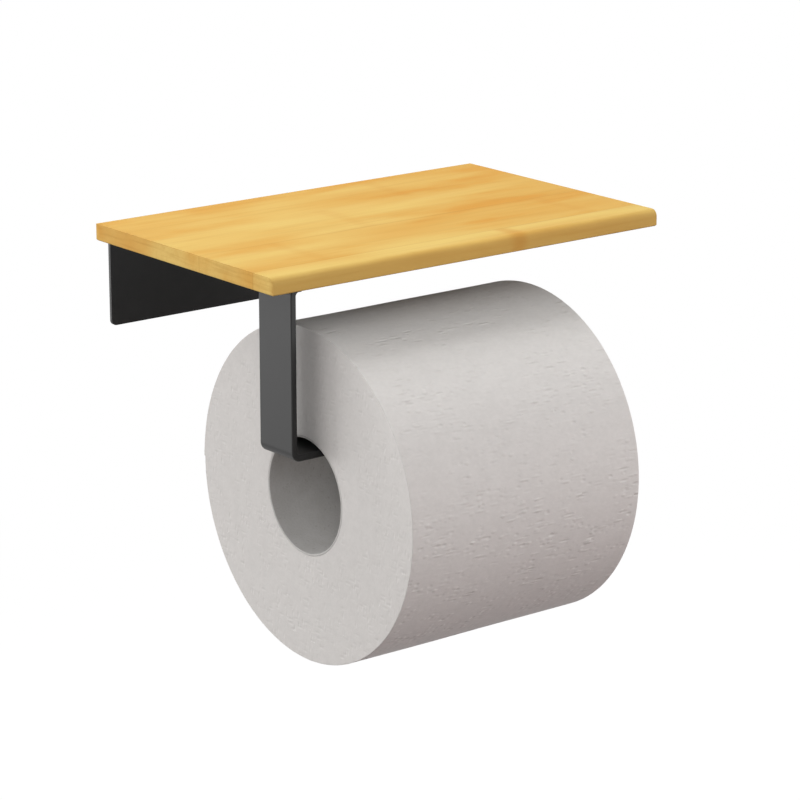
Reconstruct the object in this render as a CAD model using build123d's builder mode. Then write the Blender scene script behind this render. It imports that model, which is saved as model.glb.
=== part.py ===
from build123d import *
from math import sqrt
import os

# Toilet paper holder: a bamboo shelf on a folded steel wall bracket, with a bent steel bar
# below it that carries a paper roll. All lengths are in millimetres.
# Frame: the origin lies on the wall, midway between the two wall holes. X runs to the right
# along the wall, +Y points into the wall and +Z up, so the holder stands out towards -Y.

# Shelf board
shelf_width = 170.0
shelf_depth = 105.0
shelf_thickness = 6.0
shelf_nose_radius = 2.5
shelf_edge_ease = 0.4
shelf_wall_gap = 0.6

# Wall bracket, folded from sheet
sheet_thickness = 1.2
sheet_bend_inside = 1.2
bracket_inset = 5.2
plate_drop = 31.8
plate_corner_radius = 2.0
flange_depth = 32.0
flange_corner_radius = 5.0
wall_hole_spacing = 80.0
wall_hole_diameter = 4.5
wall_hole_drop = 12.0

# Roll arm, bent from flat bar
bar_width = 18.4
bar_thickness = 2.2
bar_bend_inside = 1.3
bar_edge_ease = 0.4
bar_tip_radius = 4.0
bar_tip_overhang = 3.5
arm_inset = 12.2
arm_set_back = 6.6
arm_drop = 60.8
foot_length = 36.0
foot_tab = 26.0
foot_set_in = 1.6
foot_neck = 1.0
foot_corner_radius = 4.0

# Wood screws that hold the bracket and the arm to the board
screw_shank_diameter = 3.0
screw_bite = 4.2
screw_point = 1.2
screw_pilot_play = 0.05
screw_tip_room = 0.3
screw_hole_play = 0.25
cross_slot_width = 0.7
cross_slot_span = 2.8
cross_slot_depth = 0.9
pan_head_diameter = 6.0
pan_head_height = 2.0
pan_head_bevel = 0.8
flat_head_diameter = 6.0
bracket_screw_count = 4
bracket_screw_spacing = 42.0
arm_screw_count = 2
arm_screw_spacing = 16.0

# Paper roll and its core
roll_diameter = 119.0
roll_length = 100.0
roll_stand_off = 9.5
core_bore = 40.8
core_wall = 0.8
core_play = 0.3
winding_play = 0.1
paper_step = 0.4

# Places that follow from the sizes above
shelf_underside = wall_hole_drop
shelf_back = -shelf_wall_gap
shelf_front = shelf_back - shelf_depth
shelf_left = -shelf_width / 2
bracket_width = shelf_width - 2 * bracket_inset
flange_screw_row = -flange_depth / 2

bar_front = shelf_front + arm_set_back
bar_rear = bar_front + bar_width
bar_middle = (bar_front + bar_rear) / 2
arm_outside = shelf_left + arm_inset
arm_inside = arm_outside + bar_thickness
bar_underside = shelf_underside - arm_drop
bar_top = bar_underside + bar_thickness
bar_bend_outside = bar_bend_inside + bar_thickness
foot_end = arm_outside + foot_length
foot_start = arm_outside + bar_bend_outside + foot_neck
foot_middle = (foot_start + foot_end) / 2
foot_front = bar_front + foot_set_in
foot_rear = bar_rear + foot_tab
arm_screw_row = bar_rear + foot_tab / 2

roll_left = arm_inside + roll_stand_off
bar_tip = roll_left + roll_length + bar_tip_overhang

# The core hangs on the bar's two upper edges, whose rounding its bore meets
core_radius = core_bore / 2
hang_radius = core_radius - core_play - bar_edge_ease
hang_half_width = bar_width / 2 - bar_edge_ease
hang_height = sqrt(hang_radius**2 - hang_half_width**2) + bar_edge_ease
roll_axis_z = bar_top - hang_height
roll_plane = Plane(origin=(roll_left, bar_middle, roll_axis_z), x_dir=(0, 1, 0), z_dir=(1, 0, 0))


def row_of_screws(count, spacing, middle, row):
    """Places under the board, evenly spaced along X about the middle."""
    first = middle - spacing * (count - 1) / 2
    return [(first + spacing * number, row, shelf_underside) for number in range(count)]


bracket_screw_places = row_of_screws(bracket_screw_count, bracket_screw_spacing, 0, flange_screw_row)
arm_screw_places = row_of_screws(arm_screw_count, arm_screw_spacing, foot_middle, arm_screw_row)
pilot_radius = screw_shank_diameter / 2 + screw_pilot_play
pilot_depth = screw_bite + screw_tip_room

os.makedirs("parts", exist_ok=True)

# Shelf board: a flat lath with a rounded front upper edge and pilot holes underneath
with BuildPart() as shelf_board:
    with BuildSketch(Plane.XY.offset(shelf_underside)):
        with Locations((0, (shelf_front + shelf_back) / 2)):
            Rectangle(shelf_width, shelf_depth)
    extrude(amount=shelf_thickness)
    top_edges = shelf_board.faces().sort_by(Axis.Z)[-1].edges()
    nose = top_edges.sort_by(Axis.Y)[0]
    fillet(nose, shelf_nose_radius)
    chamfer(shelf_board.faces().sort_by(Axis.Z)[0].edges(), shelf_edge_ease)
    with Locations(*bracket_screw_places, *arm_screw_places):
        Cylinder(
            pilot_radius,
            pilot_depth,
            align=(Align.CENTER, Align.CENTER, Align.MIN),
            mode=Mode.SUBTRACT,
        )
shelf_board.part.label = "shelf_board"
export_step(shelf_board.part, "parts/shelf_board.step")

# Wall bracket: one sheet folded along the wall's upper line, with two holes for wall screws
with BuildPart() as wall_bracket:
    with BuildSketch(Plane.YZ):
        with BuildLine():
            FilletPolyline(
                (0, shelf_underside - plate_drop),
                (0, shelf_underside),
                (-flange_depth, shelf_underside),
                radius=sheet_bend_inside + sheet_thickness,
            )
            offset(amount=sheet_thickness, side=Side.LEFT)
        make_face()
    extrude(amount=bracket_width / 2, both=True)
    plate_corners = wall_bracket.edges().filter_by(Axis.Y).group_by(Axis.Z)[0]
    fillet(plate_corners, plate_corner_radius)
    flange_corners = wall_bracket.edges().filter_by(Axis.Z).group_by(Axis.Y)[0]
    fillet(flange_corners, flange_corner_radius)
    with BuildSketch(Plane.XZ):
        with GridLocations(wall_hole_spacing, 0, 2, 1):
            Circle(wall_hole_diameter / 2)
    extrude(amount=sheet_thickness, mode=Mode.SUBTRACT)
    with Locations(*bracket_screw_places):
        Hole(screw_shank_diameter / 2 + screw_hole_play, depth=sheet_thickness)
wall_bracket.part.label = "wall_bracket"
export_step(wall_bracket.part, "parts/wall_bracket.step")

# Roll arm: a flat bar bent twice into a C, with a wider foot that is screwed up into the board
with BuildPart() as roll_arm:
    with BuildSketch(Plane.XZ.offset(-bar_rear)):
        with BuildLine():
            FilletPolyline(
                (foot_start, shelf_underside),
                (arm_outside, shelf_underside),
                (arm_outside, bar_underside),
                (bar_tip, bar_underside),
                radius=bar_bend_outside,
            )
            offset(amount=bar_thickness, side=Side.LEFT)
        make_face()
    extrude(amount=bar_width)
    tip_corners = roll_arm.faces().sort_by(Axis.X)[-1].edges().filter_by(Axis.Z)
    fillet(tip_corners, bar_tip_radius)
    roll_bar_edges = roll_arm.edges().filter_by_position(
        Axis.Z, bar_underside - bar_edge_ease, shelf_underside - bar_bend_outside
    )
    fillet(roll_bar_edges.filter_by(lambda edge: edge.length > 2 * bar_thickness), bar_edge_ease)
    with BuildSketch(Plane.XY.offset(shelf_underside)) as foot:
        with Locations((foot_middle, (foot_front + foot_rear) / 2)):
            Rectangle(foot_end - foot_start, foot_rear - foot_front)
        joined_corner = foot.vertices().sort_by(Axis((0, 0, 0), (1, 1, 0)))[0]
        fillet(foot.vertices() - [joined_corner], foot_corner_radius)
    extrude(amount=-bar_thickness)
    with Locations(*[Location((x, y, z - bar_thickness), (180, 0, 0)) for x, y, z in arm_screw_places]):
        CounterSinkHole(
            radius=screw_shank_diameter / 2 + screw_hole_play,
            counter_sink_radius=flat_head_diameter / 2 + screw_hole_play,
            depth=bar_thickness,
        )
roll_arm.part.label = "roll_arm"
export_step(roll_arm.part, "parts/roll_arm.step")

# Pan-head screw, head down, with the board's underside at height 0
pan_seat = -sheet_thickness
pan_foot = pan_seat - pan_head_height
with BuildPart() as pan_screw:
    with BuildSketch(Plane.XZ):
        with BuildLine():
            Polyline(
                (0, pan_foot),
                (pan_head_diameter / 2, pan_foot),
                (pan_head_diameter / 2, pan_seat),
                (screw_shank_diameter / 2, pan_seat),
                (screw_shank_diameter / 2, screw_bite - screw_point),
                (0, screw_bite),
                close=True,
            )
        make_face()
    revolve(axis=Axis.Z)
    chamfer(pan_screw.edges().filter_by(GeomType.CIRCLE).group_by(Axis.Z)[0], pan_head_bevel)
    with BuildSketch(Plane.XY.offset(pan_foot)):
        Rectangle(cross_slot_span, cross_slot_width)
        Rectangle(cross_slot_width, cross_slot_span)
    extrude(amount=cross_slot_depth, mode=Mode.SUBTRACT)

with BuildPart() as bracket_screws:
    with Locations(*bracket_screw_places):
        add(pan_screw.part)
bracket_screws.part.label = "bracket_screws"
export_step(bracket_screws.part, "parts/bracket_screws.step")

# Flat-head screw, flush with the foot's underside, with the board's underside at height 0
flat_foot = -bar_thickness
cone_height = (flat_head_diameter - screw_shank_diameter) / 2
with BuildPart() as flat_screw:
    with BuildSketch(Plane.XZ):
        with BuildLine():
            Polyline(
                (0, flat_foot),
                (flat_head_diameter / 2, flat_foot),
                (screw_shank_diameter / 2, flat_foot + cone_height),
                (screw_shank_diameter / 2, screw_bite - screw_point),
                (0, screw_bite),
                close=True,
            )
        make_face()
    revolve(axis=Axis.Z)
    with BuildSketch(Plane.XY.offset(flat_foot)):
        Rectangle(cross_slot_span, cross_slot_width)
        Rectangle(cross_slot_width, cross_slot_span)
    extrude(amount=cross_slot_depth, mode=Mode.SUBTRACT)

with BuildPart() as arm_screws:
    with Locations(*arm_screw_places):
        add(flat_screw.part)
arm_screws.part.label = "arm_screws"
export_step(arm_screws.part, "parts/arm_screws.step")

# Core: a thin cardboard tube that hangs on the bar
core_outside = core_radius + core_wall
with BuildPart() as roll_core:
    with BuildSketch(roll_plane):
        Circle(core_outside)
        Circle(core_radius, mode=Mode.SUBTRACT)
    extrude(amount=roll_length)
roll_core.part.label = "roll_core"
export_step(roll_core.part, "parts/roll_core.step")

# Paper: wound round the core. Its outline is a spiral of four quarter arcs, whose centres go
# round a small square, so that the last turn ends in a step at the back of the roll.
arc_growth = paper_step / 4
outer_radius = roll_diameter / 2
spiral_centres = (
    (arc_growth / 2, -arc_growth / 2),
    (arc_growth / 2, arc_growth / 2),
    (-arc_growth / 2, arc_growth / 2),
    (-arc_growth / 2, -arc_growth / 2),
)
with BuildPart() as paper_roll:
    with BuildSketch(roll_plane):
        with BuildLine() as outline:
            for quarter, centre in enumerate(spiral_centres):
                CenterArc(centre, outer_radius - quarter * arc_growth, quarter * 90, 90)
            Line(outline.edges()[-1] @ 1, outline.edges()[0] @ 0)
        make_face()
        Circle(core_outside + winding_play, mode=Mode.SUBTRACT)
    extrude(amount=roll_length)
paper_roll.part.label = "paper_roll"
export_step(paper_roll.part, "parts/paper_roll.step")

print(f"shelf: front y {shelf_front:.2f}, underside z {shelf_underside:.2f}")
print(f"arm: x {arm_outside:.2f} to {bar_tip:.2f}, y {bar_front:.2f} to {bar_rear:.2f}, bar top z {bar_top:.2f}")
print(f"roll: x {roll_left:.2f} to {roll_left + roll_length:.2f}, axis y {bar_middle:.3f} z {roll_axis_z:.3f}")
print(f"roll: top z {roll_axis_z + outer_radius:.2f}, bottom z {roll_axis_z - outer_radius:.2f}")
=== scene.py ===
# %% [markdown]
# # A toilet paper holder with a bamboo shelf
# The real object is small and plain: a bamboo board, a folded steel bracket that screws to the wall,
# a bent steel arm, and a paper roll that hangs on the arm. The rigid pieces come from the CAD model,
# so this lesson adds what CAD leaves out: the finishes, the light, and the softness of the paper.

# %% Load the CAD frame
import math

import bpy
import numpy as np
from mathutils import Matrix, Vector


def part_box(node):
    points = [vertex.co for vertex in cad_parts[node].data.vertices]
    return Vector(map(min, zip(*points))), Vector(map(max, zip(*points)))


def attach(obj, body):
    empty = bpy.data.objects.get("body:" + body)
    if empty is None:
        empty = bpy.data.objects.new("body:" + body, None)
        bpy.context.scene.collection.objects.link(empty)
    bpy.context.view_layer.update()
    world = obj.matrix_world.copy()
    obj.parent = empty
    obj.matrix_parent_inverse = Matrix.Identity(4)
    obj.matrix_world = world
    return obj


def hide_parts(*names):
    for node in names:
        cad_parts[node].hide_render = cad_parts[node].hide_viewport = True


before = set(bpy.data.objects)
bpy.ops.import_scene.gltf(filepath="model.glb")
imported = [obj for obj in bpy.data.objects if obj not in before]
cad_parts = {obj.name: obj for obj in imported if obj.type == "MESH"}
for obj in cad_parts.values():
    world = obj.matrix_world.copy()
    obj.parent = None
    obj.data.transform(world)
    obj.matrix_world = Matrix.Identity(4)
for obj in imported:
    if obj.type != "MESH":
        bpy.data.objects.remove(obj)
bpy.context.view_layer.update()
mm = 0.001
scene = bpy.context.scene
scene.view_settings.view_transform = "Standard"
print("CAD nodes:", ", ".join(sorted(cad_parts)))

# %% [markdown]
# ## Camera
# A product picture is taken from some way off with a long lens, so that edges which are parallel on the
# object stay nearly parallel in the picture. A camera is easiest to steer when it circles round a point:
# two angles and a distance say where it stands, and the same angles turn it towards that point.

# %% Camera on a long lens
camera_azimuth = math.radians(-38.27)
camera_elevation = math.radians(15.77)
camera_distance = 1.15
sensor_width = 36.0
focal_length = 144.66
camera_aim = Vector((0.0015, -0.0631, -0.0476))
to_camera = Vector((
    math.sin(camera_azimuth) * math.cos(camera_elevation),
    -math.cos(camera_azimuth) * math.cos(camera_elevation),
    math.sin(camera_elevation),
))

camera = bpy.data.objects.new("camera", bpy.data.cameras.new("camera"))
camera.data.sensor_width = sensor_width
camera.data.lens = focal_length
camera.location = camera_aim + camera_distance * to_camera
camera.rotation_euler = (math.pi / 2 - camera_elevation, 0.0, camera_azimuth)
scene.collection.objects.link(camera)
scene.camera = camera
print("camera at", [round(value, 3) for value in camera.location])

# %% [markdown]
# ## Writing node trees
# Every finish below is a small tree of shader nodes. Building one by hand takes three lines for each node:
# make it, set it, link it. These helpers do all three, so the cells that follow read like the tree itself.
# Colours are written as the eye sees them, from 0 to 255, and turned into the linear values that light
# needs.

# %% Helpers for nodes
def fill(tree, made, inputs):
    """Fills inputs of a node, by name or by number: a socket is linked, and any other value is set."""
    for name, value in inputs.items():
        if isinstance(value, bpy.types.NodeSocket):
            tree.links.new(value, made.inputs[name])
        else:
            made.inputs[name].default_value = value


def node(tree, kind, inputs=None, **settings):
    """Adds a node, sets its properties and then fills its inputs."""
    made = tree.nodes.new(kind)
    for name, value in settings.items():
        setattr(made, name, value)
    fill(tree, made, inputs or {})
    return made


def calc(tree, operation, *values):
    """One Math node: the operation applied to up to three numbers or sockets."""
    return node(tree, "ShaderNodeMath", dict(enumerate(values)), operation=operation).outputs[0]


def blend(tree, factor, first, second):
    """One Mix node for colours: first, with the second laid over it by the factor."""
    inputs = {0: factor, 6: first, 7: second}
    return node(tree, "ShaderNodeMix", inputs, data_type="RGBA").outputs[2]


def step(tree, value, low, high):
    """A smooth step: 0 where the value is below low, 1 where it is above high."""
    inputs = {"Value": value, "From Min": low, "From Max": high}
    return node(tree, "ShaderNodeMapRange", inputs, interpolation_type="SMOOTHSTEP").outputs[0]


def fall(tree, value, low, high):
    """The step turned over: 1 where the value is below low, 0 where it is above high."""
    return calc(tree, "SUBTRACT", 1.0, step(tree, value, low, high))


def between(tree, value, low, high):
    """A number that runs evenly from low to high while the value runs from 0 to 1."""
    inputs = {"Value": value, "To Min": low, "To Max": high}
    return node(tree, "ShaderNodeMapRange", inputs).outputs[0]


def own_place(tree):
    """The place on the object itself, in metres, so that a pattern rides along when the object moves."""
    return node(tree, "ShaderNodeTexCoord").outputs["Object"]


def scaled(tree, vector, scale, start=(0.0, 0.0, 0.0)):
    """A place with each axis scaled by its own number, and then moved by the start."""
    inputs = {"Vector": vector, "Scale": scale, "Location": start}
    return node(tree, "ShaderNodeMapping", inputs).outputs[0]


def noise(tree, vector, scale, detail):
    """Soft noise with the scale's number of waves per metre, and finer waves on them for more detail."""
    inputs = {"Vector": vector, "Scale": scale, "Detail": detail}
    return node(tree, "ShaderNodeTexNoise", inputs).outputs["Fac"]


def bumped(tree, height, strength, depth):
    """A normal that leans as a relief of this height would make it. The depth is in metres."""
    inputs = {"Height": height, "Strength": strength, "Distance": depth}
    return node(tree, "ShaderNodeBump", inputs).outputs[0]


def colour(red, green, blue):
    """A colour as the eye sees it, 0 to 255, as linear light by the sRGB curve, with full alpha."""
    seen = np.array((red, green, blue)) / 255.0
    linear = np.where(seen <= 0.04045, seen / 12.92, ((seen + 0.055) / 1.055) ** 2.4)
    return (*linear.tolist(), 1.0)


def finish_material(name):
    """A new material with an empty tree, its Principled shader and its output."""
    material = bpy.data.materials.new(name)
    material.use_nodes = True
    tree = material.node_tree
    tree.nodes.clear()
    shader = node(tree, "ShaderNodeBsdfPrincipled")
    node(tree, "ShaderNodeOutputMaterial", {"Surface": shader.outputs[0]})
    return material, tree, shader


print("helpers ready; middle grey is", round(colour(128, 128, 128)[0], 3), "in linear light")

# %% [markdown]
# ## Floor and surroundings
# The holder hangs on a wall, well above a pale floor. A picture on a white ground needs the floor and the
# surroundings to look white without pouring white light on the object. The Light Path node makes that
# possible: rays from the camera, and rays mirrored in a shiny surface, see white, and the rays that carry
# soft light see a dimmer floor: dark close to the object, grey further off at the left, and slightly rosy
# at the right. Near the object a share of plain diffuse keeps the shadow.

# %% White floor that keeps its shadow
def seen_directly(tree):
    """1 for a ray from the camera, from a mirror or through glass, and 0 for soft light."""
    path = node(tree, "ShaderNodeLightPath").outputs
    either = calc(tree, "MAXIMUM", path["Is Camera Ray"], path["Is Glossy Ray"])
    return calc(tree, "MAXIMUM", either, path["Is Transmission Ray"])


floor_height = -0.42
floor_reach = 15.0
shadow_share = 0.15
# The fades run from one place on the floor to another, in metres: outwards, outwards and to the right.
shadow_fade = (0.3, 1.0)
dark_fade = (0.25, 0.9)
rosy_fade = (-0.5, 0.3)
shadow_white = colour(252, 252, 252)
close_tone = colour(76, 72, 72)
left_tone = colour(170, 162, 160)
right_tone = colour(172, 124, 124)

floor_corners = np.array(((-1, -1, 0), (1, -1, 0), (1, 1, 0), (-1, 1, 0))) * floor_reach
floor_corners[:, 2] = floor_height
floor_mesh = bpy.data.meshes.new("floor")
floor_mesh.from_pydata(floor_corners.tolist(), [], [(0, 1, 2, 3)])
floor = bpy.data.objects.new("floor", floor_mesh)
scene.collection.objects.link(floor)

floor_finish = bpy.data.materials.new("pale_floor")
floor_finish.use_nodes = True
tree = floor_finish.node_tree
tree.nodes.clear()
shaded = node(tree, "ShaderNodeBsdfDiffuse", {"Color": shadow_white})
white = node(tree, "ShaderNodeEmission", {"Strength": 1.0})
where = own_place(tree)
flat = scaled(tree, where, (1.0, 1.0, 0.0))
away = node(tree, "ShaderNodeVectorMath", {0: flat}, operation="LENGTH").outputs["Value"]
near = fall(tree, away, *shadow_fade)
rightward = node(tree, "ShaderNodeSeparateXYZ", {"Vector": where}).outputs["X"]
far_tone = blend(tree, step(tree, rightward, *rosy_fade), left_tone, right_tone)
floor_tone = blend(tree, step(tree, away, *dark_fade), close_tone, far_tone)
bounce = node(tree, "ShaderNodeBsdfDiffuse", {"Color": floor_tone})
share = calc(tree, "MULTIPLY", near, shadow_share)
shown = node(tree, "ShaderNodeMixShader", {0: share, 1: white.outputs[0], 2: shaded.outputs[0]})
mixed = {0: seen_directly(tree), 1: bounce.outputs[0], 2: shown.outputs[0]}
whole = node(tree, "ShaderNodeMixShader", mixed)
node(tree, "ShaderNodeOutputMaterial", {"Surface": whole.outputs[0]})
floor_mesh.materials.append(floor_finish)

# %% White surroundings
ambient_strength = 0.04
full_white = colour(255, 255, 255)
world = bpy.data.worlds.new("studio")
scene.world = world
world.use_nodes = True
tree = world.node_tree
tree.nodes.clear()
soft = node(tree, "ShaderNodeBackground", {"Color": full_white, "Strength": ambient_strength})
white = node(tree, "ShaderNodeBackground", {"Color": full_white, "Strength": 1.0})
mixed = {0: seen_directly(tree), 1: soft.outputs[0], 2: white.outputs[0]}
whole = node(tree, "ShaderNodeMixShader", mixed)
node(tree, "ShaderNodeOutputWorld", {"Surface": whole.outputs[0]})
print("floor at", floor_height, "m, soft light of strength", ambient_strength)

# %% [markdown]
# ## Lamps
# Six area lamps shape the object. One high up and a little behind brightens the shelf and drops the
# shelf's shadow on the top of the roll. One at the left, well behind, gives the black steel its even grey
# sheen. A broad one stands straight at the left and high, lights the end of the roll and lays the arm's
# soft shadow on it. A small one and a broad one at the front open up the side. The last one, behind at the
# right and level with the gap under the shelf, only grazes the top of the roll, which would be too dark
# without it, and is kept out of reflections. The closer a lamp's size is to a point, the harder is its
# shadow, and the brighter its mirror image in satin steel, so the two strongest are broad.

# %% Six soft lamps
def lamp(name, towards, distance, size, white_level):
    """An area lamp that faces the object. A white sheet that faces it renders at white_level,
    because such a lamp of power P gives P / (pi * distance) ** 2 there."""
    direction = Vector(towards).normalized()
    light = bpy.data.lights.new(name, "AREA")
    light.shape = "SQUARE"
    light.size = size
    light.energy = white_level * (math.pi * distance) ** 2
    made = bpy.data.objects.new(name, light)
    made.location = camera_aim + distance * direction
    made.rotation_euler = direction.to_track_quat("Z", "Y").to_euler()
    made.visible_camera = False
    scene.collection.objects.link(made)
    print(name, "at", [round(value, 2) for value in made.location], "with", round(light.energy, 1), "W")
    return made


lamp("high_lamp", towards=(-0.17, 0.48, 1.00), distance=1.6, size=0.5, white_level=0.605)
lamp("left_rear_lamp", towards=(-0.60, 0.76, -0.03), distance=1.5, size=1.0, white_level=0.43)
lamp("left_lamp", towards=(-1.00, 0.10, 0.65), distance=1.6, size=1.8, white_level=0.65)
lamp("front_left_lamp", towards=(-0.64, -0.66, 0.38), distance=1.6, size=0.8, white_level=0.19)
lamp("front_right_lamp", towards=(0.72, -0.76, 0.36), distance=1.6, size=1.7, white_level=0.87)
grazing = lamp("right_rear_lamp", towards=(0.87, 0.50, 0.00), distance=1.6, size=0.5, white_level=0.55)
grazing.visible_glossy = False

# %% [markdown]
# ## Surfaces from grids
# A round or swept shape is a function of two numbers: how far along, and how far round. Worked out for
# whole arrays at once, such a function gives a grid of points, and four neighbours make a face. Everything
# that turns round an axis can share one function for its points and one for its mesh.

# %% Helpers for grids
def turn_round(along, radius, angle, axis):
    """Points of a turned surface: x is the place along the axis, and y and z are the axis
    plus the radius times the cosine and sine of the angle, measured from the wall side upwards."""
    across = axis[0] + radius * np.cos(angle)
    upward = axis[1] + radius * np.sin(angle)
    return np.stack(np.broadcast_arrays(along, across, upward), axis=-1)


def grid_piece(name, points, masks=None):
    """A mesh whose faces join each point to its neighbours, with both directions closed into rings.
    Masks are numbers per point that a material can read by name."""
    rows, columns = points.shape[:2]
    row, column = np.meshgrid(np.arange(rows), np.arange(columns), indexing="ij")
    next_row = (row + 1) % rows
    next_column = (column + 1) % columns
    corners = (row, column), (row, next_column), (next_row, next_column), (next_row, column)
    faces = np.stack([r * columns + c for r, c in corners], axis=-1).reshape(-1, 4)
    mesh = bpy.data.meshes.new(name)
    mesh.from_pydata(points.reshape(-1, 3).tolist(), [], faces.tolist())
    mesh.polygons.foreach_set("use_smooth", np.ones(len(faces), bool))
    for mask, values in (masks or {}).items():
        layer = mesh.attributes.new(mask, "FLOAT", "POINT")
        each_point = np.broadcast_to(values, (rows, columns)).ravel()
        layer.data.foreach_set("value", each_point.astype(np.float32))
    mesh.update()
    piece = bpy.data.objects.new(name, mesh)
    scene.collection.objects.link(piece)
    print(name, "has", len(faces), "faces")
    return piece


core_low, core_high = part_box("roll_core")
roll_low, roll_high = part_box("paper_roll")
roll_axis = ((core_low.y + core_high.y) / 2, (core_low.z + core_high.z) / 2)
core_outside = (core_high.z - core_low.z) / 2
roll_outside = roll_high.y - roll_axis[0]
roll_length = roll_high.x - roll_low.x
print("roll radius", round(roll_outside / mm, 2), "mm, length", round(roll_length / mm, 2), "mm")

# %% [markdown]
# ## The wound paper
# A roll isn't a cylinder. It is one long sheet wound in a spiral, so its outside steps down by one sheet at
# the loose end. Its rims are eased, its side swells a little where the winding was slack, and its ends show
# the edges of the turns. A plain cylinder with a picture would lose all that in side light, so the whole
# closed skin is one grid: the outline of half a section, its mirror image, and the angle round the axis.

# %% Section of the roll
rim_round = 0.15 * mm
bore_round = 0.15 * mm
bore_play = 0.02 * mm
bore = core_outside + bore_play
bore_rows = 5
rim_rows = 5
face_rows = 72
side_rows = 52


def half_section():
    """Half of the section, from the middle of the bore round the left end to the middle of the side.
    Each row has a place from the left end, and a radius written as gain * outside + offset."""
    quarter = np.linspace(0.0, math.pi / 2, rim_rows + 2)[1:-1]
    middle = roll_length / 2
    bore_line = np.linspace(middle, bore_round, bore_rows + 1)[1:]
    face = np.linspace(0.0, 1.0, face_rows)
    side_line = np.linspace(rim_round, middle, side_rows + 1)[:-1]
    place = np.concatenate((
        bore_line,
        bore_round * (1 - np.sin(quarter)),
        np.zeros(face_rows),
        rim_round * (1 - np.cos(quarter)),
        side_line,
    ))
    gain = np.concatenate((np.zeros(bore_rows + rim_rows), face, np.ones(rim_rows + side_rows)))
    offset = np.concatenate((
        np.full(bore_rows, bore),
        bore + bore_round * (1 - np.cos(quarter)),
        (bore + bore_round) * (1 - face) - rim_round * face,
        rim_round * (np.sin(quarter) - 1),
        np.zeros(side_rows),
    ))
    on_end = np.concatenate((
        np.zeros(bore_rows),
        np.linspace(0.0, 1.0, rim_rows),
        np.ones(face_rows),
        np.cos(quarter),
        np.zeros(side_rows),
    ))
    return place, gain, offset, on_end


place, gain, offset, on_end = half_section()
place = np.concatenate((place, roll_length - place[::-1]))[:, None]
end_side = np.concatenate((-on_end, on_end[::-1]))[:, None]
gain = np.concatenate((gain, gain[::-1]))[:, None]
offset = np.concatenate((offset, offset[::-1]))[:, None]
print("section of", place.size, "rows")

# %% Spiral, swelling, turns and the torn edge
sheet_step = 0.4 * mm
turn_pitch = 1.3 * mm
turn_relief = 0.012 * mm
turn_set_in = 2.6 * turn_relief
uneven_share = 1.6
uneven_short = 3.7 * mm
uneven_long = 6.1 * mm
slack_relief = 0.09 * mm
slack_short = 9.1 * mm
slack_long = 17.3 * mm
wave_share = 0.35
oval_share = 0.3
tooth_pitch = 5.0 * mm
tooth_depth = 0.9 * mm
loose_lift = 0.25 * mm
tear_degrees = 1.6
lift_degrees = 2.4
even_start = 2.7
even_columns = 224

# Columns lie close together at the loose end, which is at 0 degrees, and evenly everywhere else.
fine = np.array((0.0, 0.25, 0.6, 1.1, 1.8))
even = np.linspace(even_start, 360.0 - even_start, even_columns)
degrees = np.concatenate((fine, even, 360.0 - fine[:0:-1]))
angle = np.radians(degrees)[None, :]


def side_swelling(along, around):
    """Slack winding: two long waves along the roll, each turning slowly with the angle, and an oval."""
    waves = np.sin(along / slack_short + 2 * np.sin(around)) + np.sin(along / slack_long - 3 * around)
    oval = np.sin(2 * around + 1.1)
    return slack_relief * (wave_share * waves + oval_share * oval)


def turn_edges(radius, around):
    """Edges of the turns on an end: a ripple whose phase grows by one for each turn outwards, on uneven
    rings that are a few millimetres wide."""
    phase = radius / turn_pitch - around / (2 * math.pi)
    uneven = np.sin(radius / uneven_short + np.cos(around)) + np.sin(radius / uneven_long - around)
    return turn_relief * (np.sin(2 * math.pi * phase) + uneven_share * uneven)


near_end = np.exp(-(np.minimum(degrees, 360.0 - degrees) / tear_degrees) ** 2)[None, :]
after_end = np.exp(-degrees / lift_degrees)[None, :]
tooth = np.abs((place / tooth_pitch) % 1.0 - 0.5) * 2 - 0.5
spiral = roll_outside - sheet_step * angle / (2 * math.pi)
outside = spiral + loose_lift * after_end + side_swelling(place, angle) * (1 - near_end)
radius = gain * outside + offset
outermost = gain ** 6
torn = angle + outermost * tooth_depth / roll_outside * tooth * near_end
along = roll_low.x + place + end_side * (turn_edges(radius, angle) - turn_set_in)
paper = grid_piece(
    "wound_paper",
    turn_round(along, radius, torn, roll_axis),
    {"on_end": np.abs(end_side), "turn": radius / turn_pitch - angle / (2 * math.pi)},
)
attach(paper, "paper")
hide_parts("paper_roll")

# %% [markdown]
# ## The cardboard core
# The core is a tube of two grey board strips wound in a steep helix. Where one strip's edge meets the next,
# a faint raised line runs round the inside. The tube is one closed grid like the paper, and the helix is a
# narrow ridge in its inner radius.

# %% Tube with a helical seam
core_wall = 0.8 * mm
core_round = 0.25 * mm
core_length = core_high.x - core_low.x
seam_lead = 62.0 * mm
seam_height = 0.10 * mm
seam_width = 0.045
lip_rows = 5
inner_rows = 70
outer_rows = 6
core_columns = 180

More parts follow.
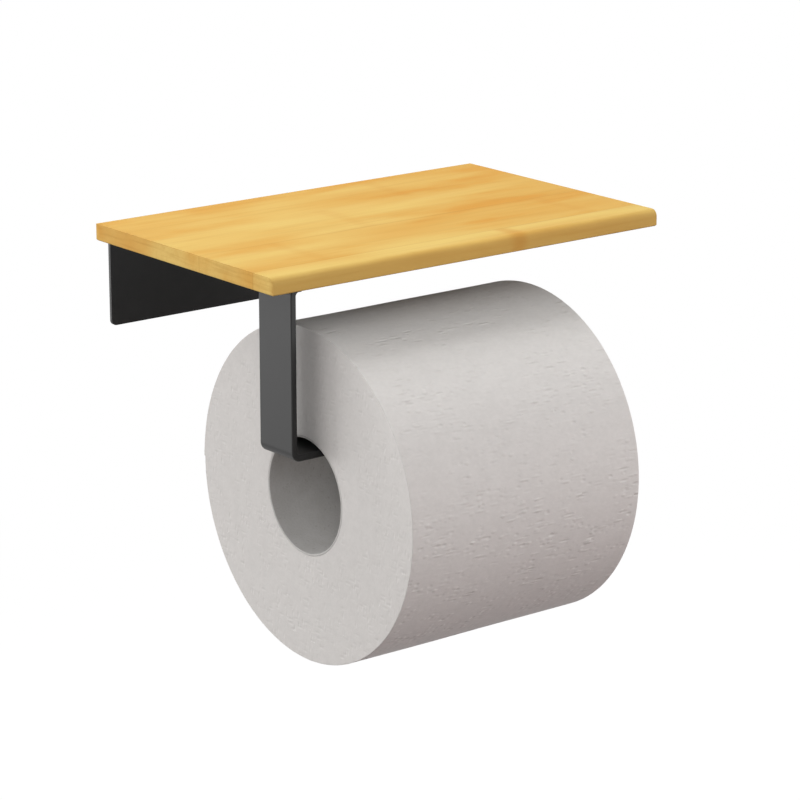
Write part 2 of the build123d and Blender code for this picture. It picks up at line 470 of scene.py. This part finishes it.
wall_inside = core_outside - core_wall
turning = np.linspace(0.0, math.pi / 2, lip_rows)[::-1]
lip_place = np.concatenate((core_round * (1 - np.cos(turning)), core_round * (1 - np.sin(turning))))
lip_radius = np.concatenate((
    core_outside - core_round + core_round * np.sin(turning),
    wall_inside + core_round - core_round * np.cos(turning),
))
inner_line = np.linspace(core_round, core_length - core_round, inner_rows + 2)[1:-1]
outer_line = np.linspace(core_length - core_round, core_round, outer_rows + 2)[1:-1]
core_place = np.concatenate((lip_place, inner_line, core_length - lip_place[::-1], outer_line))[:, None]
core_radius = np.concatenate((
    lip_radius,
    np.full(inner_rows, wall_inside),
    lip_radius[::-1],
    np.full(outer_rows, core_outside),
))[:, None]
core_angle = np.linspace(0.0, 2 * math.pi, core_columns, endpoint=False)[None, :]
seam_phase = (core_place / seam_lead - core_angle / (2 * math.pi)) % 1.0 - 0.5
inside_only = core_radius < wall_inside + core_round / 2
ridge = seam_height * np.exp(-(seam_phase / seam_width) ** 2) * inside_only
core = grid_piece(
    "cardboard_core",
    turn_round(core_low.x + core_place, core_radius - ridge, core_angle, roll_axis),
)
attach(core, "core")
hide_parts("roll_core")

# %% [markdown]
# ## A grain that several finishes share
# Paper, cardboard and powder coat are all rough in the same way: fine lumps on larger, softer ones. One
# node group makes that pattern, and each finish places it with its own size. The group gives a height for a
# Bump node and a tone for the colour. It never holds the shader, because an export reads the shader in the
# material itself.

# %% Group: lumpy grain
lump_layers = {"Detail": 2.0, "Roughness": 0.6}
drift_layers = {"Detail": 2.0, "Roughness": 0.5}
drift_height = 0.6
tone_share = 0.5
# Most of the group's tones lie in this range.
most_tones = (0.3, 0.7)

grain = bpy.data.node_groups.new("lumpy_grain", "ShaderNodeTree")
grain.interface.new_socket("Vector", in_out="INPUT", socket_type="NodeSocketVector")
for name in ("Fine", "Broad"):
    grain.interface.new_socket(name, in_out="INPUT", socket_type="NodeSocketFloat")
for name in ("Height", "Tone"):
    grain.interface.new_socket(name, in_out="OUTPUT", socket_type="NodeSocketFloat")
given = node(grain, "NodeGroupInput").outputs
inputs = {"Vector": given["Vector"], "Scale": given["Fine"], **lump_layers}
lumps = node(grain, "ShaderNodeTexNoise", inputs).outputs["Fac"]
inputs = {"Vector": given["Vector"], "Scale": given["Broad"], **drift_layers}
drift = node(grain, "ShaderNodeTexNoise", inputs).outputs["Fac"]
height = calc(grain, "MULTIPLY_ADD", drift, drift_height, lumps)
tone = calc(grain, "MULTIPLY_ADD", drift, tone_share, calc(grain, "MULTIPLY", lumps, tone_share))
node(grain, "NodeGroupOutput", {"Height": height, "Tone": tone})


def place_grain(tree, vector, fine_size, broad_size):
    """The grain group in a material, with the sizes of its lumps in metres."""
    inputs = {"Vector": vector, "Fine": 1.0 / fine_size, "Broad": 1.0 / broad_size}
    return node(tree, "ShaderNodeGroup", inputs, node_tree=grain).outputs


print("grain group with", len(grain.nodes), "nodes")

# %% [markdown]
# ## Tissue
# Tissue paper is off-white, quite matt, and embossed: rollers press small dots and dashes into it, some up
# and some down, which show in side light as pairs of a bright and a dark speck. They are longer along the
# roll than across it, because the paper is creped, and they come in crowds with smooth paper in between.
# On the ends the edges of the turns show as faint rings, under shallower dashes that lie level and upright.
# All of it is too fine for the mesh, so it goes into bump and tone.

# %% Finish: tissue
crepe = (0.6, 1.0, 1.0)
speck_fade = (0.02, 0.48)
crowd_fade = (0.33, 0.60)
tone_range = (0.25, 0.75)
# How deep specks and lumps are pressed, on the side and on the ends, as shares of the bump's depth.
side_press = 1.8
end_press = 1.35
side_lumps = 0.30
end_lumps = 0.12
rings_per_turn = 2
ring_share = 0.06
paper_dark = colour(206, 203, 200)
paper_light = colour(213, 210, 207)

tissue, tree, shader = finish_material("tissue_paper")
where = own_place(tree)


def specks(stretch, scale):
    """Scattered domes: each cell of a Voronoi pattern holds one, whose height falls off with the distance
    from the cell's point and is some share of -1 to 1 by the cell's luck. Along an axis where the stretch
    is below 1 the domes are drawn out."""
    inputs = {"Vector": scaled(tree, where, stretch), "Scale": scale}
    cells = node(tree, "ShaderNodeTexVoronoi", inputs).outputs
    luck = node(tree, "ShaderNodeSeparateColor", {"Color": cells["Color"]}).outputs[0]
    dome = fall(tree, cells["Distance"], *speck_fade)
    return calc(tree, "MULTIPLY", dome, calc(tree, "MULTIPLY_ADD", luck, 2.0, -1.0))


creped = scaled(tree, where, crepe)
lumps = place_grain(tree, creped, fine_size=1.1 * mm, broad_size=4.0 * mm)
crowds = noise(tree, creped, scale=120.0, detail=1.0)
turns = node(tree, "ShaderNodeAttribute", attribute_name="turn").outputs["Fac"]
on_end = node(tree, "ShaderNodeAttribute", attribute_name="on_end").outputs["Fac"]
dots = specks(stretch=crepe, scale=520.0)
dashes = specks(stretch=(0.25, 1.0, 1.0), scale=640.0)
level_dashes = specks(stretch=(1.0, 0.35, 1.0), scale=600.0)
upright_dashes = specks(stretch=(1.0, 1.0, 0.45), scale=700.0)
side_depth = between(tree, on_end, side_press, 0.0)
end_depth = between(tree, on_end, 0.0, end_press)
pressed = calc(tree, "MULTIPLY", calc(tree, "ADD", dots, dashes), side_depth)
end_specks = calc(tree, "ADD", level_dashes, upright_dashes)
pressed = calc(tree, "MULTIPLY_ADD", end_specks, end_depth, pressed)
pressed = calc(tree, "MULTIPLY", pressed, step(tree, crowds, *crowd_fade))
rings = calc(tree, "SINE", calc(tree, "MULTIPLY", turns, 2 * math.pi * rings_per_turn))
ring_tone = calc(tree, "MULTIPLY", calc(tree, "MULTIPLY", rings, on_end), ring_share)
tone = calc(tree, "ADD", step(tree, lumps["Tone"], *tone_range), ring_tone)
lump_depth = between(tree, on_end, side_lumps, end_lumps)
relief = calc(tree, "MULTIPLY_ADD", lumps["Height"], lump_depth, pressed)
fill(tree, shader, {
    "Base Color": blend(tree, tone, paper_dark, paper_light),
    "Normal": bumped(tree, relief, strength=0.9, depth=0.14 * mm),
    "Roughness": 0.6,
    "Specular IOR Level": 0.4,
})
paper.data.materials.append(tissue)
print("tissue with", len(tree.nodes), "nodes")

# %% [markdown]
# ## Core board
# The core is recycled board, a shade greyer than the paper, with flecks of fibre. It uses the same grain at
# a smaller size, and a second noise for the flecks.

# %% Finish: core board
fleck_range = (0.62, 0.74)
board_dark = colour(189, 187, 184)
board_light = colour(199, 197, 195)
fleck_grey = colour(180, 177, 173)

board, tree, shader = finish_material("grey_core_board")
where = own_place(tree)
lumps = place_grain(tree, where, fine_size=0.7 * mm, broad_size=5.0 * mm)
flecks = noise(tree, where, scale=900.0, detail=2.0)
board_colour = blend(tree, step(tree, lumps["Tone"], *most_tones), board_dark, board_light)
fill(tree, shader, {
    "Base Color": blend(tree, step(tree, flecks, *fleck_range), board_colour, fleck_grey),
    "Normal": bumped(tree, lumps["Height"], strength=0.3, depth=0.15 * mm),
    "Roughness": 0.85,
    "Specular IOR Level": 0.25,
})
core.data.materials.append(board)
print("core board with", len(tree.nodes), "nodes")

# %% [markdown]
# ## Bamboo
# The board is glued up from flat laths that run along the shelf: a narrow pale one at the front edge, a
# darker one behind it, and a wide one at the wall. Within a lath the shade drifts between straw and orange,
# with soft ripe patches and long fibres, and every so often there is a knuckle where the stem had a ring,
# darker and a little crooked. All are simple sums on the object's own coordinates, so they run right
# through the board and meet on its edges and ends, as in real wood. The front edge gets painted shade, a
# darker brown band, and the end grain drinks more oil and shows fine darker lines. The underside is painted
# near black, a dark sheet in the shelf's shade, so that it throws no orange light on the paper.

# %% Finish: bamboo
lath_width = 31.0 * mm
first_lath = 11.0 * mm
last_lath = 2.0
lath_turn = 2.1
lath_start = -1.4
lath_gain = 0.09
wall_gain = 0.14
glue_width = 0.5 * mm
knuckle_start = 20.5 * mm
knuckle_pitch = 118.0 * mm
knuckle_shift = 43.0 * mm
knuckle_wander = 9.0 * mm
knuckle_fade = (0.5 * mm, 5.0 * mm)
knuckle_weak = 0.13
knuckle_gain = 0.25
wall_fade = (55.0 * mm, 105.0 * mm)
# The painted shade along the front edge: how far its border wavers, and over what depth from the front it
# fades.
front_shade_wander = 3.0 * mm
front_shade_fade = (1.2 * mm, 4.2 * mm)
end_weak = 0.08
end_gain = 0.22
skin = 0.05 * mm
pale_straw = colour(223, 192, 112)
deep_straw = colour(212, 163, 80)
ripe_orange = colour(211, 152, 67)
streak_brown = colour(192, 146, 70)
fibre_brown = colour(198, 152, 72)
knuckle_brown = colour(198, 132, 50)
glue_brown = colour(176, 120, 48)
# A brown for the end grain's oil, and for the painted shade on the front edge.
end_grain_and_front_shade_brown = colour(172, 118, 46)
# Near black for the underside: painted shade, a dark sheet in the shelf's shade that keeps orange bounce
# light off the paper.
painted_shade_underside = colour(40, 39, 38)

bamboo, tree, shader = finish_material("oiled_bamboo")
where = own_place(tree)
axes = node(tree, "ShaderNodeSeparateXYZ", {"Vector": where}).outputs
board_low, board_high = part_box("shelf_board")


def stretched(scale, detail, start=(0.0, 0.0, 0.0)):
    """Noise drawn out along the shelf: the scale counts waves per metre along it, across it and in depth,
    and the start says from which place in the noise."""
    return noise(tree, scaled(tree, where, scale, start), scale=1.0, detail=detail)


def laid_over(under, mask, share, tint):
    """The colour so far, with a tint laid over it by a share of the mask."""
    return blend(tree, calc(tree, "MULTIPLY", mask, share), under, tint)


waver = noise(tree, where, scale=45.0, detail=2.0)
drift = stretched((9.0, 45.0, 45.0), detail=2.0)
patches = stretched((20.0, 75.0, 75.0), detail=3.0, start=(6.2, 8.3, 0.0))
streaks = stretched((16.0, 340.0, 340.0), detail=2.0)
fibre = stretched((30.0, 1000.0, 1000.0), detail=2.0)
end_lines = stretched((1.0, 45.0, 800.0), detail=2.0)

from_front = calc(tree, "SUBTRACT", axes["Y"], board_low.y)
counted = calc(tree, "DIVIDE", calc(tree, "ADD", from_front, lath_width - first_lath), lath_width)
lath = calc(tree, "FLOOR", counted)
foremost = calc(tree, "LESS_THAN", lath, 0.5)
lath_phase = calc(tree, "MULTIPLY_ADD", calc(tree, "MINIMUM", lath, last_lath), lath_turn, lath_start)
lath_shade = calc(tree, "SINE", lath_phase)
to_wall = step(tree, from_front, *wall_fade)
shade = calc(tree, "MULTIPLY_ADD", to_wall, wall_gain, drift)
shade = calc(tree, "MULTIPLY_ADD", lath_shade, lath_gain, shade)
deep = step(tree, shade, low=0.30, high=0.85)
ripe = step(tree, patches, low=0.46, high=0.66)
ripe = calc(tree, "MULTIPLY", ripe, step(tree, shade, low=0.40, high=0.75))
wood = blend(tree, deep, pale_straw, deep_straw)
wood = laid_over(wood, ripe, share=0.8, tint=ripe_orange)
wood = laid_over(wood, step(tree, streaks, low=0.5, high=0.75), share=0.18, tint=streak_brown)
wood = laid_over(wood, step(tree, fibre, low=0.45, high=0.75), share=0.18, tint=fibre_brown)

shifted = calc(tree, "MULTIPLY_ADD", lath, -knuckle_shift, axes["X"])
shifted = calc(tree, "SUBTRACT", shifted, knuckle_start + knuckle_wander / 2)
crooked = calc(tree, "MULTIPLY_ADD", waver, knuckle_wander, shifted)
from_knuckle = calc(tree, "WRAP", crooked, knuckle_pitch / 2, -knuckle_pitch / 2)
knuckle = fall(tree, calc(tree, "ABSOLUTE", from_knuckle), *knuckle_fade)
knuckle_share = calc(tree, "MULTIPLY_ADD", foremost, knuckle_gain, knuckle_weak)
wood = laid_over(wood, knuckle, share=knuckle_share, tint=knuckle_brown)

# Half a lath from its middle line there is a joint, except behind the last lath.
joint = calc(tree, "ABSOLUTE", calc(tree, "SUBTRACT", calc(tree, "FRACT", counted), 0.5))
glue_line = step(tree, joint, 0.5 - glue_width / lath_width, 0.5)
glue_line = calc(tree, "MULTIPLY", glue_line, calc(tree, "LESS_THAN", counted, last_lath + 0.5))
wood = laid_over(wood, glue_line, share=0.25, tint=glue_brown)

# Painted shade: a darker brown band along the front edge, where the front face gets less light.
painted_front_shade = fall(tree, calc(tree, "MULTIPLY_ADD", waver, front_shade_wander, from_front), *front_shade_fade)
wood = laid_over(wood, painted_front_shade, share=0.42, tint=end_grain_and_front_shade_brown)
on_left = calc(tree, "LESS_THAN", axes["X"], board_low.x + skin)
on_right = calc(tree, "GREATER_THAN", axes["X"], board_high.x - skin)
on_ends = calc(tree, "ADD", on_left, on_right)
end_share = step(tree, end_lines, low=0.45, high=0.70)
end_share = calc(tree, "MULTIPLY_ADD", end_share, end_gain, end_weak)
wood = laid_over(wood, on_ends, share=end_share, tint=end_grain_and_front_shade_brown)
# Painted shade: the underside turns near black, so that it bounces no orange light onto the top of the
# roll.
underneath = calc(tree, "LESS_THAN", axes["Z"], board_low.z + skin)
wood = laid_over(wood, underneath, share=0.85, tint=painted_shade_underside)
fill(tree, shader, {
    "Base Color": wood,
    "Roughness": between(tree, patches, low=0.55, high=0.70),
    "Normal": bumped(tree, fibre, strength=0.15, depth=0.05 * mm),
    "Specular IOR Level": 0.08,
})
print("bamboo with", len(tree.nodes), "nodes")

# %% [markdown]
# ## Black powder coat
# Powder coat is baked on as a thick plastic skin. It is black and satin, and its surface has a very fine
# orange peel, which spreads highlights into an even sheen. Colour hardly matters here: nearly all of what
# the eye sees is the lamps at the left, mirrored by a rough surface.

# %% Finish: black coat
coat_dark = colour(27, 27, 27)
coat_light = colour(32, 32, 32)

coat, tree, shader = finish_material("black_powder_coat")
peel = place_grain(tree, own_place(tree), fine_size=0.45 * mm, broad_size=6.0 * mm)
fill(tree, shader, {
    "Base Color": blend(tree, step(tree, peel["Tone"], *most_tones), coat_dark, coat_light),
    "Roughness": between(tree, peel["Tone"], low=0.40, high=0.50),
    "Normal": bumped(tree, peel["Height"], strength=0.08, depth=0.03 * mm),
    "Specular IOR Level": 0.32,
})
print("black coat with", len(tree.nodes), "nodes")

# %% [markdown]
# ## Screw steel
# The screws under the shelf are zinc plated: a bright metal with a slightly cloudy surface. Metal takes its
# colour from what it mirrors, so the base colour is only a pale grey, and the clouds go into the roughness.

# %% Finish: zinc on the screws
zinc_dark = colour(178, 180, 182)
zinc_light = colour(206, 207, 206)

zinc, tree, shader = finish_material("zinc_plated_steel")
clouds = place_grain(tree, own_place(tree), fine_size=0.3 * mm, broad_size=1.5 * mm)
fill(tree, shader, {
    "Base Color": blend(tree, step(tree, clouds["Tone"], *most_tones), zinc_dark, zinc_light),
    "Roughness": between(tree, clouds["Tone"], low=0.22, high=0.42),
    "Metallic": 1.0,
})
print("zinc with", len(tree.nodes), "nodes")

# %% [markdown]
# ## Finishes on the CAD pieces
# The board, the bracket, the arm and the screws keep their CAD shapes. Each has one material slot from the
# CAD model, and putting a finish in that slot is all they need.

# %% Dress the CAD nodes
node_finish = {
    "shelf_board": bamboo,
    "wall_bracket": coat,
    "roll_arm": coat,
    "bracket_screws": zinc,
    "arm_screws": zinc,
}
for name, material in node_finish.items():
    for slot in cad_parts[name].material_slots:
        slot.material = material
    print(name, "gets", material.name)
